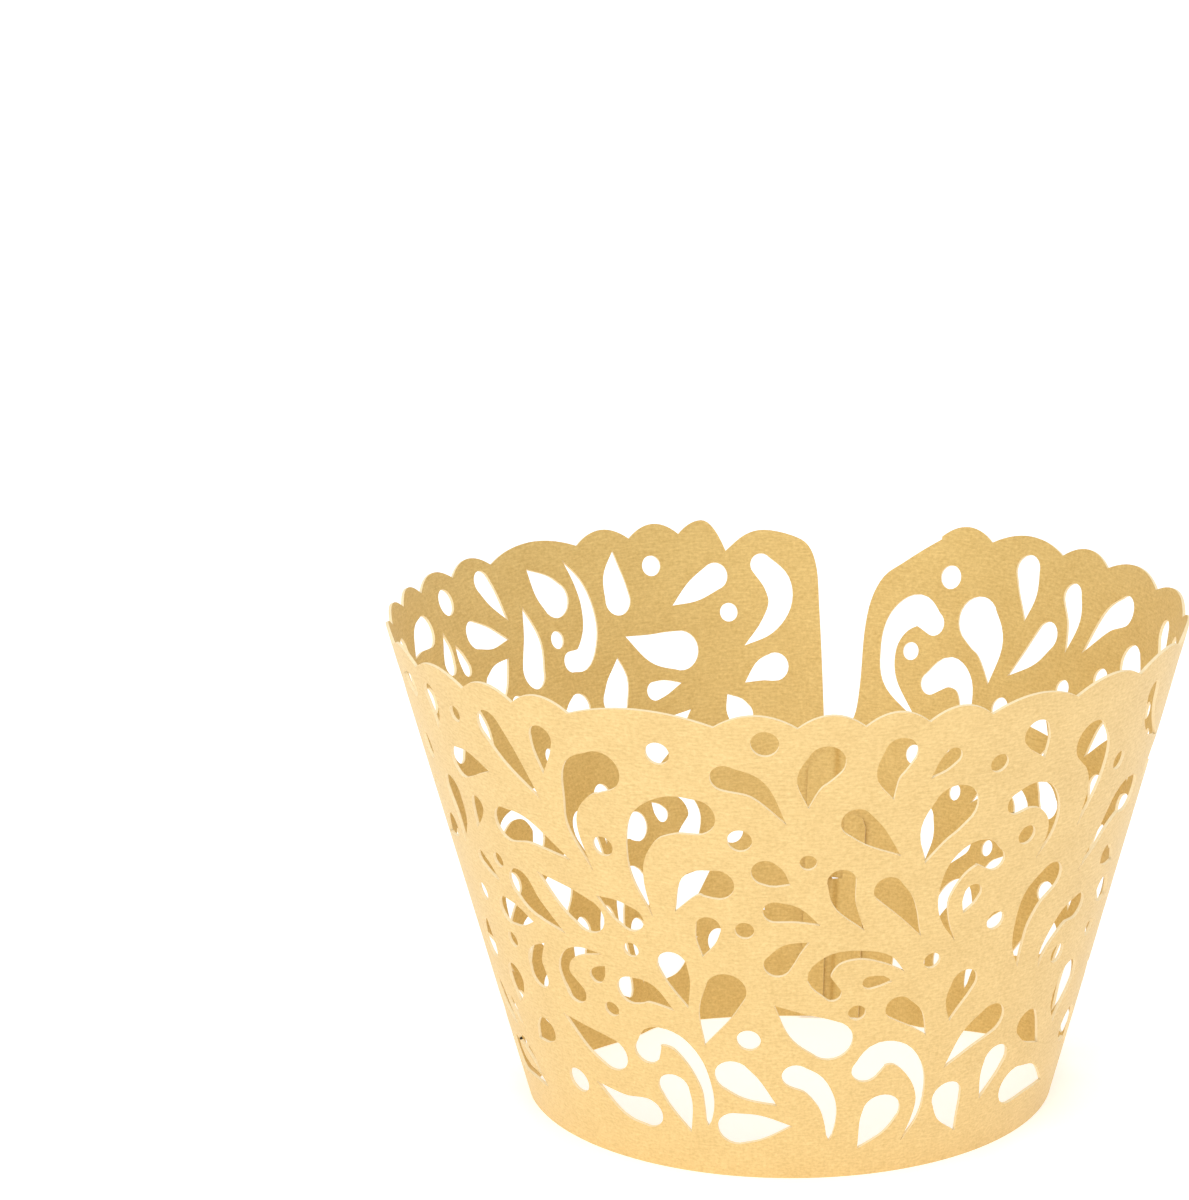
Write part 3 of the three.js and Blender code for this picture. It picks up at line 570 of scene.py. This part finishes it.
# %% Give the card its thickness and its UV map
OUTER, INNER, CUT = 0, 1, 2
STANDING = 0.5
UV_UNIT = 100
for face in card.faces:
    if face.normal.z < 0:
        face.normal_flip()
sheet = card.faces[:]
second = bmesh.ops.extrude_face_region(card, geom=sheet, use_keep_orig=True)
inner_verts = [vert for vert in second["geom"] if isinstance(vert, bmesh.types.BMVert)]
bmesh.ops.translate(card, verts=inner_verts, vec=(0, 0, CARD))
card.normal_update()
places = card.loops.layers.uv.new("Blank")
for face in card.faces:
    if abs(face.normal.z) < STANDING:
        face.material_index = CUT
    elif face.calc_center_median().z > CARD / 2:
        face.material_index = INNER
    else:
        face.material_index = OUTER
    for loop in face.loops:
        loop[places].uv = loop.vert.co.xy / UV_UNIT
for edge in card.edges:
    edge.smooth = len({face.material_index for face in edge.link_faces}) == 1
for face in card.faces:
    face.smooth = True
print("With its thickness the card has", len(card.faces), "faces")

# %% [markdown]
# Rolling is one formula for every point: its turn and its rise give a place on the cone, less the push,
# and its depth moves it inwards, square to the card. Two short steps across and up the card tell which
# way is square to it. Near the join the depth grows, so that each tab slips behind the other end in a
# short soft step, as the real card does.

# %% Roll the card into a cone
STEP_START = -0.3
STEP_LENGTH = 0.9
JOIN_MARGIN = 1
PROBE = 0.5


def tab_depth(turn, rise):
    """How far a point is pushed in behind the other end."""
    beyond = math.radians(turn - SEAM_TURN) * radius_at(rise)
    right_end = turn > SEAM_TURN - WHOLE_TURN / 2
    if not right_end:
        beyond = math.radians(NEXT_SEAM - turn) * radius_at(rise)
    stays = rise < LOCK_HEIGHT if right_end else rise > LOCK_HEIGHT
    if rise > JOIN_HEIGHT + JOIN_MARGIN or (stays and beyond < SLIT):
        return 0
    return TAB_DEPTH * soft_step((beyond - STEP_START) / STEP_LENGTH)


def outer_point(turn, rise):
    """A point of the card's outer face: on the cone, less the push."""
    angle = math.radians(turn)
    push = push_at(turn, rise)
    x = radius_at(rise) * math.sin(angle) - push * math.sin(angle) ** 3
    y = (push - radius_at(rise)) * math.cos(angle)
    return Vector((x, y, HEIGHT * rise / SLANT))


def rolled(turn, rise, depth):
    across = outer_point(turn + PROBE, rise) - outer_point(turn - PROBE, rise)
    up = outer_point(turn, rise + PROBE) - outer_point(turn, rise - PROBE)
    return (outer_point(turn, rise) - across.cross(up).normalized() * depth) * MM


for vert in card.verts:
    turn = math.degrees(vert.co.x / MAP_RADIUS)
    rise = vert.co.y
    depth = vert.co.z + tab_depth(turn, rise)
    vert.co = rolled(turn, rise, depth)
if card.calc_volume(signed=True) < 0:
    bmesh.ops.reverse_faces(card, faces=card.faces[:])
mesh = bpy.data.meshes.new("card_wrapper")
card.to_mesh(mesh)
card.free()
wrapper = bpy.data.objects.new("card_wrapper", mesh)
bpy.context.scene.collection.objects.link(wrapper)
print("The rolled card has", len(mesh.polygons), "faces")

# %% [markdown]
# The finishes are worked out with a little shader arithmetic. This class wraps a socket, so that sums
# and products of textures can be written as plain Python, and each operator adds one Math node.

# %% Shader arithmetic


class Wire:
    def __init__(self, tree, socket):
        self.tree = tree
        self.socket = socket

    def math(self, operation, first, second):
        node = self.tree.nodes.new("ShaderNodeMath")
        node.operation = operation
        for place, value in zip(node.inputs, (first, second)):
            if isinstance(value, Wire):
                self.tree.links.new(value.socket, place)
            else:
                place.default_value = value
        return Wire(self.tree, node.outputs[0])

    def __add__(self, other):
        return self.math("ADD", self, other)

    def __radd__(self, other):
        return self.math("ADD", other, self)

    def __sub__(self, other):
        return self.math("SUBTRACT", self, other)

    def __rsub__(self, other):
        return self.math("SUBTRACT", other, self)

    def __mul__(self, other):
        return self.math("MULTIPLY", self, other)

    def __rmul__(self, other):
        return self.math("MULTIPLY", other, self)


class Finish:
    """A material with its shader, and the methods that add nodes to it."""

    def __init__(self, name):
        self.material = bpy.data.materials.new(name)
        self.material.use_nodes = True
        self.tree = self.material.node_tree
        self.shader = self.tree.nodes["Principled BSDF"]

    def node(self, kind, settings, **inputs):
        made = self.tree.nodes.new(kind)
        for key, value in settings.items():
            setattr(made, key, value)
        for key, value in inputs.items():
            self.feed(made.inputs[key.replace("_", " ")], value)
        return Wire(self.tree, made.outputs[0])

    def noise(self, place, scale, detail, roughness):
        return self.node(
            "ShaderNodeTexNoise", {}, Vector=place, Scale=scale, Detail=detail, Roughness=roughness,
        )

    def feed(self, place, value):
        if isinstance(value, Wire):
            self.tree.links.new(value.socket, place)
        else:
            place.default_value = value

    def blend(self, share, low, high):
        mix = self.tree.nodes.new("ShaderNodeMix")
        mix.data_type = "RGBA"
        self.feed(mix.inputs["Factor"], share)
        self.feed(mix.inputs[6], low)
        self.feed(mix.inputs[7], high)
        return Wire(self.tree, mix.outputs[2])

    def set(self, **inputs):
        for key, value in inputs.items():
            self.feed(self.shader.inputs[key.replace("_", " ")], value)

    def done(self):
        print(self.material.name, "has", len(self.tree.nodes), "nodes")
        return self.material


# %% [markdown]
# Pearl card has a soft even glow more than a shine. Under it lies the paper: short fibres that run
# round the cone, and a fine grit in the coat. Both are noise on the flat blank, one stretched along the
# card and one even. They change the colour and the roughness a little, and they raise the surface by
# some thousandths of a millimetre. The outside gets a higher index of refraction than the inside,
# because its coat is brighter and pales toward the flanks.

# %% The pearl coat
FIBRES = (110, 480, 1)
GRITS = 300
CLOUDS = 26
GRAIN_SHARES = (0.4, 0.45, 0.15)
GRAIN_MIDDLE = 0.5
GRAIN_CONTRAST = 4
PEARL_ROUGHNESS = 0.5
PEARL_ROUGHNESS_CHANGE = 0.25
PEARL_COAT = 0.12
PEARL_COAT_ROUGHNESS = 0.35
GRAIN_HEIGHT = 0.02 * MM
BUMP_STRENGTH = 0.35
GLOW = 0.25


def pearl(name, light, dark, ior):
    finish = Finish(name)
    place = finish.node("ShaderNodeUVMap", {"uv_map": "Blank"})
    along = finish.node("ShaderNodeMapping", {}, Vector=place, Scale=FIBRES)
    fibre = finish.noise(along, 1, 3, 0.6)
    grit = finish.noise(place, GRITS, 3, 0.7)
    cloud = finish.noise(place, CLOUDS, 2, 0.5)
    grain = fibre * GRAIN_SHARES[0] + grit * GRAIN_SHARES[1] + cloud * GRAIN_SHARES[2]
    tone = (grain - GRAIN_MIDDLE) * GRAIN_CONTRAST + GRAIN_MIDDLE
    finish.set(Base_Color=finish.blend(tone, dark, light))
    finish.set(Roughness=PEARL_ROUGHNESS - (grit - GRAIN_MIDDLE) * PEARL_ROUGHNESS_CHANGE)
    finish.set(Metallic=GLOW, IOR=ior, Coat_Weight=PEARL_COAT, Coat_Roughness=PEARL_COAT_ROUGHNESS)
    bump = finish.node("ShaderNodeBump", {}, Strength=BUMP_STRENGTH, Distance=GRAIN_HEIGHT, Height=grain)
    finish.set(Normal=bump)
    return finish.done()


OUTER_LIGHT = (0.85, 0.60, 0.235, 1)
OUTER_DARK = (0.66, 0.435, 0.135, 1)
INNER_LIGHT = (0.85, 0.61, 0.225, 1)
INNER_DARK = (0.65, 0.43, 0.125, 1)
OUTER_IOR = 1.9
INNER_IOR = 1.5
mesh.materials.append(pearl("pearl_outside", OUTER_LIGHT, OUTER_DARK, OUTER_IOR))
mesh.materials.append(pearl("pearl_inside", INNER_LIGHT, INNER_DARK, INNER_IOR))

# %% [markdown]
# The cut edge shows the paper under the coat, a pale cream. The cutter leaves it a little uneven, so it
# gets fine marks across its thickness.

# %% The cut edge
EDGE_LIGHT = (1.0, 0.86, 0.58, 1)
EDGE_DARK = (0.90, 0.70, 0.38, 1)
EDGE_ROUGHNESS = 0.75
MARKS = 420
MARK_HEIGHT = 0.03 * MM
MARK_STRENGTH = 0.3


def cut_edge():
    finish = Finish("cut_edge")
    place = finish.node("ShaderNodeUVMap", {"uv_map": "Blank"})
    marks = finish.noise(place, MARKS, 2, 0.6)
    finish.set(Base_Color=finish.blend(marks, EDGE_DARK, EDGE_LIGHT), Roughness=EDGE_ROUGHNESS)
    bump = finish.node("ShaderNodeBump", {}, Strength=MARK_STRENGTH, Distance=MARK_HEIGHT, Height=marks)
    finish.set(Normal=bump)
    return finish.done()


mesh.materials.append(cut_edge())

# %% [markdown]
# The finished piece takes the place of the plain model and stands where that stands.

# %% Put the card in the model's place
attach(wrapper, "root")
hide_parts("wrapper")
print(wrapper.name, "takes the model's place")

# %% [markdown]
# The wrapper stands on a plain pale floor. The floor is one big plane, made large enough to fill the
# picture to its top edge, so that no horizon shows. It glows faintly, which stands for the white sweep
# of a studio: that keeps the shadows pale and lights the lower edge of the card from below.

# %% Floor
FLOOR_SIZE = 6
FLOOR_GLOW = 0.32
FLOOR_COLOUR = (0.97, 0.97, 0.97, 1)
FLOOR_ROUGHNESS = 0.8
FLOOR_SHINE = 0.2
WHITE = (1, 1, 1, 1)


def pale_floor():
    finish = Finish("pale_floor")
    finish.set(Base_Color=FLOOR_COLOUR, Roughness=FLOOR_ROUGHNESS, Specular_IOR_Level=FLOOR_SHINE)
    finish.set(Emission_Color=WHITE, Emission_Strength=FLOOR_GLOW)
    bm = bmesh.new()
    bmesh.ops.create_grid(bm, x_segments=1, y_segments=1, size=FLOOR_SIZE)
    floor_mesh = bpy.data.meshes.new("floor")
    bm.to_mesh(floor_mesh)
    bm.free()
    floor_mesh.materials.append(finish.done())
    floor = bpy.data.objects.new("floor", floor_mesh)
    bpy.context.scene.collection.objects.link(floor)


pale_floor()

# %% [markdown]
# Soft studio light comes from large panels. One stands low in front on the left, a very weak one on the
# right keeps that side from going dull, and one high in front shines over the rim onto the inside of
# the back. The pale world around lights everything else.

# %% Light
LIGHTS = [
    ("key", (-0.6, -0.75, 0.3), 0.7, 1.6),
    ("fill", (0.7, -0.5, 0.45), 0.7, 0.05),
    ("top", (-0.05, -0.5, 0.85), 0.5, 1.6),
]
AIM = Vector((0, 0, 0.025))
WORLD_LIGHT = 0.82


def panel_light(name, place, size, power):
    light = bpy.data.lights.new(name, "AREA")
    light.shape = "SQUARE"
    light.size = size
    light.energy = power
    panel = bpy.data.objects.new(name, light)
    panel.location = place
    panel.rotation_euler = (AIM - Vector(place)).to_track_quat("-Z", "Y").to_euler()
    bpy.context.scene.collection.objects.link(panel)


for light in LIGHTS:
    panel_light(*light)
world = bpy.data.worlds.new("studio")
bpy.context.scene.world = world
world.use_nodes = True
world.node_tree.nodes["Background"].inputs["Color"].default_value = WHITE
world.node_tree.nodes["Background"].inputs["Strength"].default_value = WORLD_LIGHT
bpy.context.scene.view_settings.view_transform = "Standard"
print("The studio has", len(LIGHTS), "panels of light")

# %% [markdown]
# The camera looks slightly down at the wrapper from a third of a metre away, a little to the side, as
# the photo does. Its place and its angles come from matching the cone's outline in the photo, and so
# does the lens, a long one. The wrapper is right of and below the middle of the frame.

# %% Camera
CAMERA_PLACE = Vector((0.053, -330.228, 133.595)) * MM
CAMERA_DOWN = 0.246
CAMERA_TURN = -0.058
CAMERA_ROLL = -0.02
FOCAL_PIXELS = 3398.663
FRAME_PIXELS = 1200
SENSOR_WIDTH = 36


def add_camera():
    look = bpy.data.cameras.new("camera")
    look.sensor_width = SENSOR_WIDTH
    look.lens = FOCAL_PIXELS / FRAME_PIXELS * SENSOR_WIDTH
    print("The lens is %.0f mm long" % look.lens)
    camera = bpy.data.objects.new("camera", look)
    forward = Vector((
        math.sin(CAMERA_TURN) * math.cos(CAMERA_DOWN),
        math.cos(CAMERA_TURN) * math.cos(CAMERA_DOWN),
        -math.sin(CAMERA_DOWN),
    ))
    level = Vector((math.cos(CAMERA_TURN), -math.sin(CAMERA_TURN), 0))
    up = level.cross(forward)
    right = level * math.cos(CAMERA_ROLL) + up * math.sin(CAMERA_ROLL)
    up = up * math.cos(CAMERA_ROLL) - level * math.sin(CAMERA_ROLL)
    axes = Matrix((right, up, -forward)).transposed()
    camera.matrix_world = Matrix.Translation(CAMERA_PLACE) @ axes.to_4x4()
    bpy.context.scene.collection.objects.link(camera)
    bpy.context.scene.camera = camera


add_camera()
